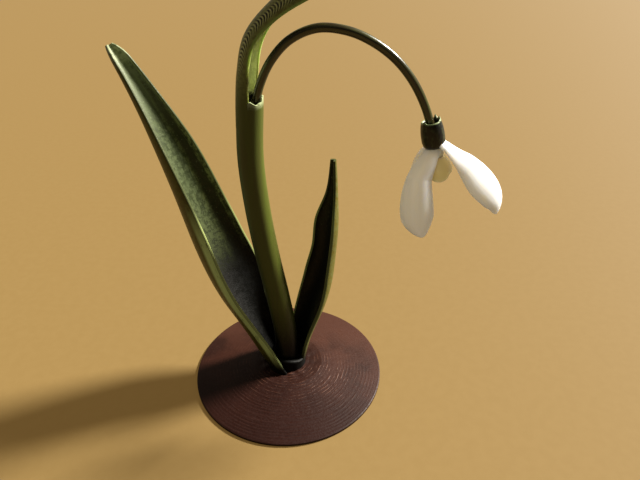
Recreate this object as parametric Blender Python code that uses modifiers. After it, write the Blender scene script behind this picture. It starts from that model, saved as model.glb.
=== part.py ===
"""Snowdrop ornament: a printed flower that stands on its own round base.

Two channel-shaped leaves and the stem's foot stand in a blind socket in the base.
The stem ends in a mouth whose back wall runs on as the gutter-shaped hood. A thin
flower stalk arches from the mouth to the ovary, and the ovary's peg carries the
three outer petals and the inner cup.

Frame: +Z up, origin at the middle of the base's underside, +X towards the flower,
-Y towards the front. Lengths below are in millimetres and angles in degrees.
"""
import math

import bmesh
import bpy
import numpy as np
from mathutils import Matrix, Vector

MM = 0.001
GAP = 0.3                     # clearance between pieces that touch

# Base
BASE_RADIUS = 25.0
RIM_HEIGHT = 0.8
CROWN_RADIUS = 9.0            # where the shallow cone meets the flat crown
CROWN_HEIGHT = 3.3
SOCKET_RADIUS = 6.05
SOCKET_FLOOR = 1.5
FOOT_Z = SOCKET_FLOOR + GAP   # every foot stands this high
SEAT_Z = 3.6                  # the leaves start to lean outward here
LEAN_STARTS_BY = 0.12         # share of a leaf's length in which its full lean grows

# A tip is rounded by a quarter ellipse: "tip" holds the share of the length where it starts
# and the share of it that is used, so that the end keeps a width. A pointed tip has none.
TIP_ROWS = 6
POINTED = (1.0, 0.0)

# Leaves: a channel of constant wall, swept up from a ring-shaped foot
LEAF_WALL = 0.9
COLLAR_INNER = 3.4
COLLAR_OUTER = 4.5
COLLAR_TOP = 6.8
LONG_LEAF = {
    "azimuth": 163.0, "length": 86.0, "twist": 26.0, "foot_radius": 5.3,
    "tip": (0.955, 0.9),
    "lean": (31.0, 26.0, 14.5, 19.0, 29.0),
    "radius": (5.3, 5.3, 7.3, 6.9, 5.7, 4.45, 2.7, 1.25),
    "half_angle": (100.0, 86.0, 97.0, 96.0, 101.0),
}
SHORT_LEAF = {
    "azimuth": 34.0, "length": 56.8, "twist": 1.0, "foot_radius": 4.0,
    "tip": POINTED,
    "lean": (9.0, 26.5, 9.5, 2.5, -4.5),
    "radius": (4.0, 4.45, 5.2, 4.75, 3.85, 3.7, 1.6, 0.6),
    "half_angle": (62.0, 63.0, 79.0, 77.0, 79.0),
}

# Stem: X of the centre line at evenly spaced heights, and the radius there
STEM_TOP = 74.5
STEM_X = (-0.35, -0.6, -2.15, -4.05, -5.5, -6.2, -5.5)
STEM_RADIUS = (2.95, 2.95, 2.95, 2.9, 2.85, 2.8, 2.8)

# Hood: the arc's centre line in the XZ plane, its radius and half-angle
HOOD_X = (-5.95, -5.5, -4.8, -3.35, 0.2, 4.7, 10.1, 15.5)
HOOD_Z = (69.0, 74.5, 79.9, 85.4, 89.5, 92.6, 94.3, 93.8)
HOOD_RADIUS = (2.4, 2.45, 2.45, 2.4, 2.45, 2.5, 1.9, 0.6)
HOOD_HALF_ANGLE = (101.0, 102.0, 93.0, 91.0, 87.0, 93.0, 88.0, 90.0)
HOOD_TURN = (13.0, 17.0, 17.0, 13.0, 1.0, 1.0, 3.0, 0.0)   # the opening turns to the front
HOOD_WALL = 0.75

# Flower stalk: a 1.75 mm rod
STALK_RADIUS = 0.875
STALK_X = (-4.7, -3.3, -0.8, 3.0, 8.1, 13.7, 18.7, 23.2, 26.8, 29.6, 31.6)
STALK_Z = (72.3, 77.5, 82.3, 86.1, 88.05, 87.55, 85.5, 82.3, 78.2, 73.4, 68.4)
HOLE_RADIUS = STALK_RADIUS + GAP

# Flower: everything hangs from the middle of the ovary's lower end
FLOWER_AT = (32.5, 0.0, 64.8)
FLOWER_TILT = 14.0
OVARY_HEIGHT = 5.7
OVARY_RADIUS = 2.45
RECEPTACLE_RADIUS = 1.8
PEG_RADIUS = 0.9
PEG_LENGTH = 3.4
PETAL_WALL = 0.8
TWIST_ENDS_AT = 0.3           # share of a petal's length in which it turns
OUTER_PETALS = (              # start: distance from the axis, and height, of the claw
    {"azimuth": -7.0, "start": (2.5, 0.3), "length": 21.8, "twist": 25.0,
     "tip": (0.82, 0.96),
     "lean": (139.0, 143.0, 148.0, 216.0),
     "radius": (2.5, 3.95, 6.1, 5.55, 3.75), "half_angle": (44.0, 47.0, 48.0, 52.0, 60.0)},
    {"azimuth": 112.0, "start": (2.4, -0.4), "length": 19.0, "twist": -10.0,
     "tip": (0.82, 0.96),
     "lean": (120.0, 147.0, 160.0, 195.0),
     "radius": (1.8, 2.6, 3.6, 3.6, 2.8), "half_angle": (55.0, 65.0, 68.0, 66.0, 68.0)},
    {"azimuth": 226.0, "start": (2.4, -0.4), "length": 19.0, "twist": -44.0,
     "tip": (0.82, 0.96),
     "lean": (119.0, 152.0, 169.0, 193.0),
     "radius": (1.8, 1.9, 3.1, 3.5, 2.6), "half_angle": (55.0, 60.0, 67.0, 67.0, 69.0)},
)
CUP_WALL = 0.7
CUP_TOP = -1.9                # the cup's closed top, below the claws
CUP_LENGTH = 5.0
CUP_RADIUS = 3.2
CUP_LOBES = 3
NOTCH_HALF_WIDTH = 1.3
NOTCH_DEPTH = 2.4
NOTCH_STRETCH = 2.6           # the notch cutter reaches through the cup's wall


# Collections, materials and objects

def clear_scene():
    for obj in list(bpy.data.objects):
        bpy.data.objects.remove(obj, do_unlink=True)


def new_collection(name):
    collection = bpy.data.collections.new(name)
    bpy.context.scene.collection.children.link(collection)
    return collection


def material(name, colour, roughness):
    mat = bpy.data.materials.new(name)
    mat.use_nodes = True
    shader = mat.node_tree.nodes["Principled BSDF"]
    shader.inputs["Base Color"].default_value = (*colour, 1.0)
    shader.inputs["Roughness"].default_value = roughness
    shader.inputs["Metallic"].default_value = 0.0
    return mat


def mesh_object(name, points, edges, faces, collection):
    mesh = bpy.data.meshes.new(name)
    mesh.from_pydata([tuple(p) for p in points], edges, faces)
    obj = bpy.data.objects.new(name, mesh)
    collection.objects.link(obj)
    return obj


def finish(obj, mat, sharp_angle=40.0):
    """Gives a piece its material and smooth shading with crisp corners."""
    obj.data.materials.clear()
    obj.data.materials.append(mat)
    obj.data.shade_smooth()
    obj.data.set_sharp_from_angle(angle=math.radians(sharp_angle))
    return obj


def hide_cutter(obj):
    obj.hide_render = True
    obj.display_type = "WIRE"
    return obj


def apply_modifiers(obj):
    """Replaces a mesh or a curve by the mesh that its modifiers give."""
    graph = bpy.context.evaluated_depsgraph_get()
    mesh = bpy.data.meshes.new_from_object(obj.evaluated_get(graph))
    work = bmesh.new()
    work.from_mesh(mesh)
    bmesh.ops.remove_doubles(work, verts=work.verts, dist=0.01 * MM)
    bmesh.ops.recalc_face_normals(work, faces=work.faces)
    work.to_mesh(mesh)
    work.free()
    solid = bpy.data.objects.new(obj.name, mesh)
    solid.matrix_world = obj.matrix_world
    obj.users_collection[0].objects.link(solid)
    name = obj.name
    bpy.data.objects.remove(obj, do_unlink=True)
    solid.name = name
    return solid


def boolean(obj, other, operation):
    modifier = obj.modifiers.new(operation.title(), "BOOLEAN")
    modifier.operation = operation
    modifier.object = other
    modifier.solver = "EXACT"
    return modifier


# Smooth curves through evenly spaced values

def smooth(values, t):
    """Catmull-Rom interpolation of values at parameters t from 0 to 1."""
    values = np.asarray(values, float)
    last = len(values) - 1
    x = np.clip(t * last, 0.0, last - 1e-9)
    i = x.astype(int)
    u = x - i
    slope = np.gradient(values)
    ease = u * u * (3 - 2 * u)
    rise = u * (1 - u) ** 2
    fall = -u * u * (1 - u)
    return values[i] * (1 - ease) + values[i + 1] * ease + slope[i] * rise + slope[i + 1] * fall


def rows_to_tip(count, tip):
    """Parameters from 0 to 1, which crowd together where a rounded tip closes."""
    if tip == POINTED:
        return np.linspace(0.0, 1.0, count)
    start = tip[0]
    blade = np.linspace(0.0, start, count - TIP_ROWS, endpoint=False)
    closing = np.sin(np.linspace(0.0, math.pi / 2, TIP_ROWS))
    return np.concatenate([blade, start + (1 - start) * closing])


def tip_round(t, tip):
    """Share of the radius that is left at each parameter by the rounded tip."""
    if tip == POINTED:
        return np.ones_like(t)
    start, used = tip
    x = np.clip((t - start) / (1 - start), 0.0, 1.0) * used
    return np.sqrt(1 - x * x)


def walk(lean, t, length, start_out, start_up):
    """Distances out and up along a line whose angle from vertical is lean."""
    step = np.diff(t) * length
    middle = (lean[1:] + lean[:-1]) / 2
    out = start_out + np.concatenate([[0.0], np.cumsum(np.sin(middle) * step)])
    up = start_up + np.concatenate([[0.0], np.cumsum(np.cos(middle) * step)])
    return out, up


def arc_grid(centre, opening, side, radius, half_angle, columns):
    """Rows of points on arcs that open towards opening, one arc for each centre."""
    angle = np.linspace(-1.0, 1.0, columns)[None, :] * half_angle[:, None]
    across = (radius[:, None] * np.sin(angle))[..., None] * side[:, None, :]
    back = (radius[:, None] * np.cos(angle))[..., None] * opening[:, None, :]
    return centre[:, None, :] + across - back


def turn(opening, side, angle):
    """Turns an arc's opening towards its side by angle, in radians, row by row."""
    c = np.cos(angle)[:, None]
    s = np.sin(angle)[:, None]
    return opening * c + side * s, side * c - opening * s


def sheet(name, grid, wall, collection):
    """A wall of even thickness on both sides of a grid of points."""
    rows, columns = grid.shape[:2]
    index = np.arange(rows * columns).reshape(rows, columns)
    quads = np.stack([index[:-1, :-1], index[:-1, 1:], index[1:, 1:], index[1:, :-1]], -1)
    obj = mesh_object(name, grid.reshape(-1, 3) * MM, [], quads.reshape(-1, 4).tolist(), collection)
    shell = obj.modifiers.new("Wall", "SOLIDIFY")
    shell.thickness = wall * MM
    shell.offset = 0.0
    return apply_modifiers(obj)


def radial_frame(azimuth):
    angle = math.radians(azimuth)
    out = np.array([math.cos(angle), math.sin(angle), 0.0])
    side = np.array([-math.sin(angle), math.cos(angle), 0.0])
    return out, side, np.array([0.0, 0.0, 1.0])


# Turned and round pieces

def turned(name, profile, steps, collection):
    """Turns a profile of (radius, height) round Z, read down its outer side."""
    points = [(r * MM, 0.0, z * MM) for r, z in profile]
    edges = [(i, i + 1) for i in range(len(points) - 1)]
    obj = mesh_object(name, points, edges, [], collection)
    screw = obj.modifiers.new("Turn", "SCREW")
    screw.axis = "Z"
    screw.angle = 2 * math.pi
    screw.steps = steps
    screw.render_steps = steps
    screw.use_merge_vertices = True
    screw.merge_threshold = 0.00001
    return apply_modifiers(obj)


def rod(name, points, radii, collection, bevel):
    """A round rod through points, as a curve turned into a closed mesh."""
    curve = bpy.data.curves.new(name, "CURVE")
    curve.dimensions = "3D"
    curve.bevel_depth = MM
    curve.bevel_resolution = bevel
    curve.use_fill_caps = True
    spline = curve.splines.new("POLY")
    spline.points.add(len(points) - 1)
    for knot, place, radius in zip(spline.points, points, radii):
        knot.co = (*(Vector(place) * MM), 1.0)
        knot.radius = radius
    obj = bpy.data.objects.new(name, curve)
    collection.objects.link(obj)
    return apply_modifiers(obj)


# Base

def make_base(parts):
    profile = [
        (0.0, SOCKET_FLOOR), (SOCKET_RADIUS, SOCKET_FLOOR), (SOCKET_RADIUS, CROWN_HEIGHT + 0.1),
        (CROWN_RADIUS - 1.2, CROWN_HEIGHT), (CROWN_RADIUS, CROWN_HEIGHT - 0.15),
        (BASE_RADIUS - 0.3, RIM_HEIGHT + 0.05), (BASE_RADIUS, RIM_HEIGHT - 0.2),
        (BASE_RADIUS, 0.15), (BASE_RADIUS - 0.15, 0.0), (0.0, 0.0),
    ]
    return turned("base", profile, 64, parts)


# Leaves

def leaf_grid(shape, rows, columns):
    """A leaf's channel: an upright arc at the foot that leans outward above it."""
    out, side, up = radial_frame(shape["azimuth"])
    t = rows_to_tip(rows, shape["tip"])
    lean = np.radians(smooth(shape["lean"], t))
    reach, height = walk(lean, t, shape["length"], shape["foot_radius"], SEAT_Z)
    grown = np.clip(t / LEAN_STARTS_BY, 0.0, 1.0)
    lean = lean * grown * grown * (3 - 2 * grown)
    radius = smooth(shape["radius"], t) * tip_round(t, shape["tip"])
    keel = reach[:, None] * out + height[:, None] * up
    opening = np.sin(lean)[:, None] * up - np.cos(lean)[:, None] * out
    opening, across = turn(opening, side[None, :], np.radians(shape["twist"]) * t * t)
    half_angle = np.radians(smooth(shape["half_angle"], t))
    grid = arc_grid(keel + radius[:, None] * opening, opening, across, radius, half_angle, columns)
    foot = grid[:1].copy()
    foot[..., 2] = FOOT_Z
    return np.concatenate([foot, grid])


def make_long_leaf(parts):
    return sheet("leaf_long", leaf_grid(LONG_LEAF, 30, 13), LEAF_WALL, parts)


def make_short_leaf(parts, cutters):
    """The short leaf with the closed collar that holds the stem's foot."""
    leaf = sheet("leaf_short", leaf_grid(SHORT_LEAF, 20, 11), LEAF_WALL, parts)
    profile = [
        (COLLAR_INNER, COLLAR_TOP), (COLLAR_OUTER, COLLAR_TOP),
        (COLLAR_OUTER, FOOT_Z), (COLLAR_INNER, FOOT_Z), (COLLAR_INNER, COLLAR_TOP),
    ]
    collar = hide_cutter(turned("collar_ring", profile, 32, cutters))
    boolean(leaf, collar, "UNION")
    return apply_modifiers(leaf)


# Stem and hood

def stem_points(count):
    t = np.linspace(0.0, 1.0, count)
    height = FOOT_Z + (STEM_TOP - FOOT_Z) * t
    x = smooth(STEM_X, t)
    return [(a, 0.0, z) for a, z in zip(x, height)], smooth(STEM_RADIUS, t)


def hood_grid(rows, columns):
    """The hood's gutter, an arc swept along its own centre line."""
    t = np.linspace(0.0, 1.0, rows)
    centre = np.stack([smooth(HOOD_X, t), np.zeros(rows), smooth(HOOD_Z, t)], -1)
    along = np.gradient(centre, axis=0)
    along /= np.linalg.norm(along, axis=1)[:, None]
    opening = np.stack([along[:, 2], np.zeros(rows), -along[:, 0]], -1)
    front = np.broadcast_to(np.array([0.0, -1.0, 0.0]), opening.shape)
    opening, side = turn(opening, front, np.radians(smooth(HOOD_TURN, t)))
    radius = smooth(HOOD_RADIUS, t)
    half_angle = np.radians(smooth(HOOD_HALF_ANGLE, t))
    return arc_grid(centre, opening, side, radius, half_angle, columns)


def stalk_points(count):
    t = np.linspace(0.0, 1.0, count)
    return [(x, 0.0, z) for x, z in zip(smooth(STALK_X, t), smooth(STALK_Z, t))]


def make_stem(parts, cutters):
    points, radii = stem_points(22)
    stem = rod("stem", points, radii, parts, bevel=3)
    hood = hide_cutter(sheet("hood_sheet", hood_grid(24, 13), HOOD_WALL, cutters))
    bore_path = stalk_points(60)
    bore_end = next(p for p in bore_path if p[2] > STEM_TOP + 2.0)
    bottom = Vector(bore_path[0])
    direction = (Vector(bore_end) - bottom).normalized()
    ends = [bottom - direction * GAP, Vector(bore_end)]
    bore = hide_cutter(rod("mouth_bore", ends, [HOLE_RADIUS, HOLE_RADIUS], cutters, bevel=4))
    boolean(stem, hood, "UNION")
    boolean(stem, bore, "DIFFERENCE")
    return apply_modifiers(stem)


def make_stalk(parts):
    points = stalk_points(44)
    return rod("pedicel", points, [STALK_RADIUS] * len(points), parts, bevel=3)


# Flower

def flower_matrix():
    tilt = Matrix.Rotation(math.radians(-FLOWER_TILT), 4, "Y")
    return Matrix.Translation(Vector(FLOWER_AT) * MM) @ tilt


def make_ovary(parts):
    top = OVARY_HEIGHT
    profile = [
        (0.0, top - 2.6), (HOLE_RADIUS, top - 2.6), (HOLE_RADIUS, top - 0.9), (1.4, top - 0.1),
        (1.55, top), (1.75, top - 0.15), (2.0, top - 0.9), (2.25, top - 2.0), (2.4, 2.8),
        (OVARY_RADIUS, 2.1), (2.4, 1.4), (2.2, 0.7), (1.95, 0.2), (RECEPTACLE_RADIUS, 0.0),
        (RECEPTACLE_RADIUS, CUP_TOP + GAP), (PEG_RADIUS, CUP_TOP + GAP),
        (PEG_RADIUS, -PEG_LENGTH), (0.0, -PEG_LENGTH),
    ]
    return turned("ovary", profile, 28, parts)


def petal_grid(shape, rows, columns):
    """An outer petal: a cupped blade that bends down and in from its claw."""
    out, side, up = radial_frame(shape["azimuth"])
    t = rows_to_tip(rows, shape["tip"])
    lean = np.radians(smooth(shape["lean"], t))
    reach, height = walk(lean, t, shape["length"], *shape["start"])
    radius = smooth(shape["radius"], t) * tip_round(t, shape["tip"])
    keel = reach[:, None] * out + height[:, None] * up
    opening = np.cos(lean)[:, None] * out - np.sin(lean)[:, None] * up
    twist = np.radians(shape["twist"]) * np.clip(t / TWIST_ENDS_AT, 0.0, 1.0)
    opening, across = turn(opening, side[None, :], twist)
    half_angle = np.radians(smooth(shape["half_angle"], t))
    return arc_grid(keel + radius[:, None] * opening, opening, across, radius, half_angle, columns)


def make_outer_petals(parts):
    petals = []
    for number, shape in enumerate(OUTER_PETALS, start=1):
        petals.append(sheet(f"outer_tepal_{number}", petal_grid(shape, 19, 9), PETAL_WALL, parts))
    return petals


def make_inner_petals(parts, cutters):
    """The inner cup: closed at its top round the peg, notched between its lobes."""
    bore = PEG_RADIUS + GAP
    end = CUP_TOP - CUP_LENGTH
    outer = [(bore, CUP_TOP), (1.7, CUP_TOP - 0.1), (2.3, CUP_TOP - 1.2),
             (CUP_RADIUS, CUP_TOP - 3.6), (CUP_RADIUS - 0.1, end)]
    inner = [(r - CUP_WALL, z) for r, z in reversed(outer[2:])]
    profile = outer + inner + [(bore, CUP_TOP - CUP_WALL), (bore, CUP_TOP)]
    cup = turned("inner_tepals", profile, 30, parts)
    for number in range(CUP_LOBES):
        bpy.ops.mesh.primitive_cone_add(
            vertices=4, radius1=NOTCH_HALF_WIDTH * MM, radius2=0.05 * MM, depth=NOTCH_DEPTH * MM)
        notch = bpy.context.object
        notch.name = f"lobe_notch_{number + 1}"
        angle = 2 * math.pi * number / CUP_LOBES + math.pi / CUP_LOBES
        spin = Matrix.Rotation(angle, 4, "Z")
        place = Matrix.Translation(Vector((0.0, CUP_RADIUS, end + NOTCH_DEPTH / 2 - GAP)) * MM)
        notch.matrix_world = spin @ place @ Matrix.Diagonal((1.0, NOTCH_STRETCH, 1.0, 1.0))
        for user in list(notch.users_collection):
            user.objects.unlink(notch)
        cutters.objects.link(hide_cutter(notch))
        boolean(cup, notch, "DIFFERENCE")
    return apply_modifiers(cup)


def build():
    clear_scene()
    parts = new_collection("snowdrop_ornament")
    cutters = new_collection("cutters")
    soil = material("soil_brown_print", (0.14, 0.075, 0.05), 0.5)
    leaf_green = material("leaf_green_print", (0.12, 0.17, 0.06), 0.45)
    stem_green = material("stem_green_print", (0.17, 0.22, 0.05), 0.4)
    stalk_green = material("stalk_green_filament", (0.2, 0.26, 0.04), 0.25)
    ovary_green = material("ovary_green_print", (0.04, 0.07, 0.02), 0.4)
    white = material("petal_white_print", (0.85, 0.84, 0.8), 0.35)
    cream = material("cup_cream_print", (0.8, 0.74, 0.6), 0.4)

    finish(make_base(parts), soil)
    finish(make_long_leaf(parts), leaf_green)
    finish(make_short_leaf(parts, cutters), leaf_green)
    finish(make_stem(parts, cutters), stem_green)
    finish(make_stalk(parts), stalk_green)

    flower = bpy.data.objects.new("flower_axis", None)
    flower.matrix_world = flower_matrix()
    parts.objects.link(flower)
    hanging = [finish(make_ovary(parts), ovary_green)]
    hanging += [finish(petal, white) for petal in make_outer_petals(parts)]
    hanging.append(finish(make_inner_petals(parts, cutters), cream))
    for piece in hanging:
        piece.parent = flower
    bpy.context.view_layer.update()


build()
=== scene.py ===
"""Snowdrop ornament of printed plastic: its fine surfaces, finishes, floor, lights and camera.

Frame: +Z up, origin at the middle of the base's underside, +X towards the flower,
-Y towards the front. Shapes are worked out in millimetres and stored in metres.
"""
import math

import bmesh
import bpy
import numpy as np
from bpy.props import FloatProperty, FloatVectorProperty, PointerProperty
from mathutils import Matrix, Vector


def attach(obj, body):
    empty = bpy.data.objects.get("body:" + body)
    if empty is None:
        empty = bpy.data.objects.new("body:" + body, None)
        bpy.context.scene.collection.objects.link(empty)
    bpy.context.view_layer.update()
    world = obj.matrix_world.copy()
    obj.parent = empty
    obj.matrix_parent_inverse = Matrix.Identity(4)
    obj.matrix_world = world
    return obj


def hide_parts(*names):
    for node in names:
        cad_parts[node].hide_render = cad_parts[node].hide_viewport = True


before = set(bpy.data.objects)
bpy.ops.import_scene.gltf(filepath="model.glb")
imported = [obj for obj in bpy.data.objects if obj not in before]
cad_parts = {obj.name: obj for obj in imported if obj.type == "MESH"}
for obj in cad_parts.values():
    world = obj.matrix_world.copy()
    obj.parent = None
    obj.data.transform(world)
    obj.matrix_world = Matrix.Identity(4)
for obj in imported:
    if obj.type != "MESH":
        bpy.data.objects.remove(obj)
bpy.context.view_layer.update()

bl_info = {
    "name": "Snowdrop ornament",
    "version": (1, 0, 0),
    "blender": (4, 5, 0),
    "location": "View3D > Sidebar > Snowdrop",
    "description": "A nodding snowdrop of printed plastic on its round base",
    "category": "Add Mesh",
}

MM = 0.001
PER_MM = 1000.0               # a noise of one period a millimetre, on coordinates in metres
MERGE_WITHIN = 0.0005         # points of a mesh this close become one
LEAST_EDGE = 0.0002           # edges shorter than this are dissolved
BODY = "root"

# Base
BASE_RADIUS = 25.0
RIM_HEIGHT = 0.8
RIM_WIDTH = 0.35              # the cone ends this far inside the rim
CROWN_RADIUS = 9.0
CROWN_HEIGHT = 3.3
RING_SPACING = 0.9            # the finish's printed rings, and the fine lines between them
LINE_SPACING = 0.3
TERRACES_FACE = 262.0         # the terraces are strongest towards this side, in degrees
FOOT_Z = 2.9                  # the pieces' feet sink a little into the crown

# A tip is the share of the length where its quarter ellipse starts, and how much of that is used
TIP_ROWS = 36
POINTED = (1.0, 0.0)

# Leaves: channels of even wall swept up from the foot
SEAT_Z = 3.6                  # the leaves start to lean outward here
MARK_LENGTH = 50.0            # a leaf's marks count the way along it in lengths of this
LEAN_STARTS_BY = 0.12         # share of a leaf's length in which its full lean grows
FLAT_BY = 0.3                 # by this share the long leaf's back half is at its flattest
LONG_LEAF = {
    "azimuth": 163.0, "length": 86.0, "twist": 26.0, "foot_radius": 5.3,
    "tip": (0.955, 0.9), "back_angle": 60.0, "back_flatter": 0.5,
    "lean": (31.0, 26.0, 14.5, 19.0, 29.0),
    "radius": (5.3, 5.3, 7.3, 6.9, 5.7, 4.45, 2.7, 1.25),
    "half_angle": (100.0, 86.0, 97.0, 96.0, 101.0),
}
SHORT_LEAF = {
    "azimuth": 34.0, "length": 56.8, "twist": 1.0, "foot_radius": 4.0,
    "tip": POINTED,
    "lean": (9.0, 26.5, 9.5, 2.5, -4.5),
    "radius": (4.0, 4.45, 5.2, 4.75, 3.85, 3.7, 1.6, 0.6),
    "half_angle": (62.0, 63.0, 79.0, 77.0, 79.0),
}
COLLAR_INNER = 3.4
COLLAR_OUTER = 4.6
COLLAR_TOP = 6.8

# Stem, hood and flower stalk
STEM_START = 1.8              # the centre line's lower end, inside the base
STEM_TOP = 74.5
STEM_X = (-0.35, -0.6, -2.15, -4.05, -5.5, -6.2, -5.5)
STEM_RADIUS = (2.95, 2.95, 2.95, 2.9, 2.85, 2.8, 2.8)
HOOD_X = (-5.95, -5.5, -4.8, -3.35, 0.2, 4.7, 10.1, 15.5)
HOOD_Z = (69.0, 74.5, 79.9, 85.4, 89.5, 92.6, 94.3, 93.8)
HOOD_RADIUS = (2.4, 2.45, 2.45, 2.4, 2.45, 2.5, 1.9, 0.6)
HOOD_HALF_ANGLE = (101.0, 102.0, 93.0, 91.0, 87.0, 93.0, 88.0, 90.0)
HOOD_TURN = (13.0, 17.0, 17.0, 13.0, 1.0, 1.0, 3.0, 0.0)    # the opening turns to the front
HOOD_STEPS = 62               # printed layers that show as steps along the hood
MOUTH_HEIGHTS = (74.55, 74.5, 74.3, 73.0, 71.5)    # the stem's end turns in through these
MOUTH_RADII = (2.65, 2.3, 2.1, 2.0, 1.9)
# A torn rim's points: height, and direction and width in degrees
MOUTH_TEARS = ((1.1, 360, 16), (1.1, 0, 30), (0.45, 278, 9), (0.5, 341, 5), (-0.3, 306, 10))
STALK_X = (-4.7, -3.3, -0.8, 3.0, 8.1, 13.7, 18.7, 23.2, 26.8, 29.6, 31.6)
STALK_Z = (72.3, 77.5, 82.3, 86.1, 88.05, 87.55, 85.5, 82.3, 78.2, 73.4, 68.4)

# Flower: everything hangs from the middle of the ovary's lower end
FLOWER_AT = (32.5, 0.0, 64.8)
FLOWER_TILT = 14.0
OVARY_HEIGHT = 5.7
OVARY_RADIUS = 2.45
OVARY_TEARS = ((0.75, 48, 9), (0.6, 12, 9), (0.5, 215, 14), (0.25, 330, 10))
CLAW_SUNK = 1.3               # how far each petal reaches back into the ovary
CLAW_ROWS = 8
TWIST_ENDS_AT = 0.3           # share of a petal's length in which it turns
OUTER_PETALS = (
    {"azimuth": -7.0, "start": (2.5, 0.3), "length": 21.9, "twist": 25.0,
     "tip": (0.79, 0.965), "lean": (139.0, 142.0, 153.5, 211.0),
     "radius": (2.5, 3.95, 6.1, 5.4, 3.4), "half_angle": (44.0, 47.0, 48.0, 50.0, 50.0)},
    {"azimuth": 119.0, "start": (2.4, -0.4), "length": 18.4, "twist": -10.0,
     "tip": (0.8, 0.99), "lean": (120.0, 147.0, 160.0, 195.0),
     "radius": (1.8, 2.5, 3.4, 3.4, 2.8), "half_angle": (55.0, 65.0, 68.0, 66.0, 68.0)},
    {"azimuth": 227.0, "start": (2.4, -0.4), "length": 19.1, "twist": -44.0,
     "tip": (0.77, 0.99), "lean": (119.0, 152.0, 169.0, 193.0),
     "radius": (2.0, 2.45, 3.2, 3.5, 2.6), "half_angle": (55.0, 62.0, 67.0, 67.0, 69.0)},
)
CUP_TOP = -1.9
CUP_LENGTH = 5.0
CUP_RADIUS = 3.2
CUP_WALL = 0.7
CUP_ROOF = 0.8                # thickness of the cup's closed top
CUP_LOBES = 3

# Floor, lights and camera
FLOOR_REACH = 6.0             # half a side of the floor, in metres
KEY_SPREAD = 10.0             # how wide a light seems, in degrees
KEY_COLOUR = (1.0, 0.95, 0.86)
FILL_SPREAD = 60.0
FILL_TILT = 62.0              # degrees from straight down
FILL_TURN = -20.0             # degrees about the vertical
# The pieces that the soft fill reaches
FILLED = ("outer_tepal_1_print", "outer_tepal_2_print", "outer_tepal_3_print",
          "inner_cup_print", "petal_seat")
CAMERA_AT = (0.00853, -0.0993, 0.1036)
CAMERA_TILT = 58.12           # degrees from straight down
LENS = 28.125
SENSOR_WIDTH = 36.0
CLIP_START = 0.001


def paint(red, green, blue):
    """A colour given in display values from 0 to 255, as the shaders' linear values."""
    value = np.array([red, green, blue]) / 255.0
    linear = np.where(value <= 0.04045, value / 12.92, ((value + 0.055) / 1.055) ** 2.4)
    return tuple(float(c) for c in linear)


# Curves and surfaces

def ease(x):
    """Smooth step: 3 times the square less twice the cube, with x held to 0..1."""
    x = np.clip(x, 0.0, 1.0)
    return x * x * (3 - 2 * x)


def bell(x, middle, width):
    """Bell curve: e to minus the square of the distance from the middle in widths."""
    return np.exp(-((x - middle) / width) ** 2)


def smooth(values, t):
    """Cubic line through evenly spaced values, with the mean of its two slopes at each."""
    values = np.asarray(values, float)
    last = len(values) - 1
    x = np.clip(t * last, 0.0, last - 1e-9)
    i = x.astype(int)
    u = x - i
    slope = np.gradient(values)
    share = ease(u)
    rise = u * (1 - u) ** 2
    fall = -u * u * (1 - u)
    return values[i] * (1 - share) + values[i + 1] * share + slope[i] * rise + slope[i + 1] * fall


def rows_to_tip(count, tip):
    """Parameters from 0 to 1, evenly spaced, then by the sine of an even angle in a rounded tip."""
    if tip == POINTED:
        return np.linspace(0.0, 1.0, count)
    start = tip[0]
    blade = np.linspace(0.0, start, count - TIP_ROWS, endpoint=False)
    rounded = np.sin(np.linspace(0.0, math.pi / 2, TIP_ROWS))
    return np.concatenate([blade, start + (1 - start) * rounded])


def tip_round(t, tip):
    """Share of the radius left in a rounded tip: the root of 1 minus the square of the way in."""
    if tip == POINTED:
        return np.ones_like(t)
    start, used = tip
    x = np.clip((t - start) / (1 - start), 0.0, 1.0) * used
    return np.sqrt(1 - x * x)


def walk(lean, t, length, start_out, start_up):
    """Distances out and up: the running sums of the sine and cosine of the lean times the step."""
    step = np.diff(t) * length
    middle = (lean[1:] + lean[:-1]) / 2
    out = start_out + np.concatenate([[0.0], np.cumsum(np.sin(middle) * step)])
    up = start_up + np.concatenate([[0.0], np.cumsum(np.cos(middle) * step)])
    return out, up


def turn(first, second, angle):
    """Turns two perpendicular directions in their own plane: cosine and sine mixes, row by row."""
    c = np.cos(angle)[:, None]
    s = np.sin(angle)[:, None]
    return first * c + second * s, second * c - first * s


def radial_frame(azimuth):
    """Directions out, sideways and up at an azimuth, from its cosine and sine along X and Y."""
    angle = math.radians(azimuth)
    out = np.array([math.cos(angle), math.sin(angle), 0.0])
    side = np.array([-math.sin(angle), math.cos(angle), 0.0])
    return out, side, np.array([0.0, 0.0, 1.0])


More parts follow.
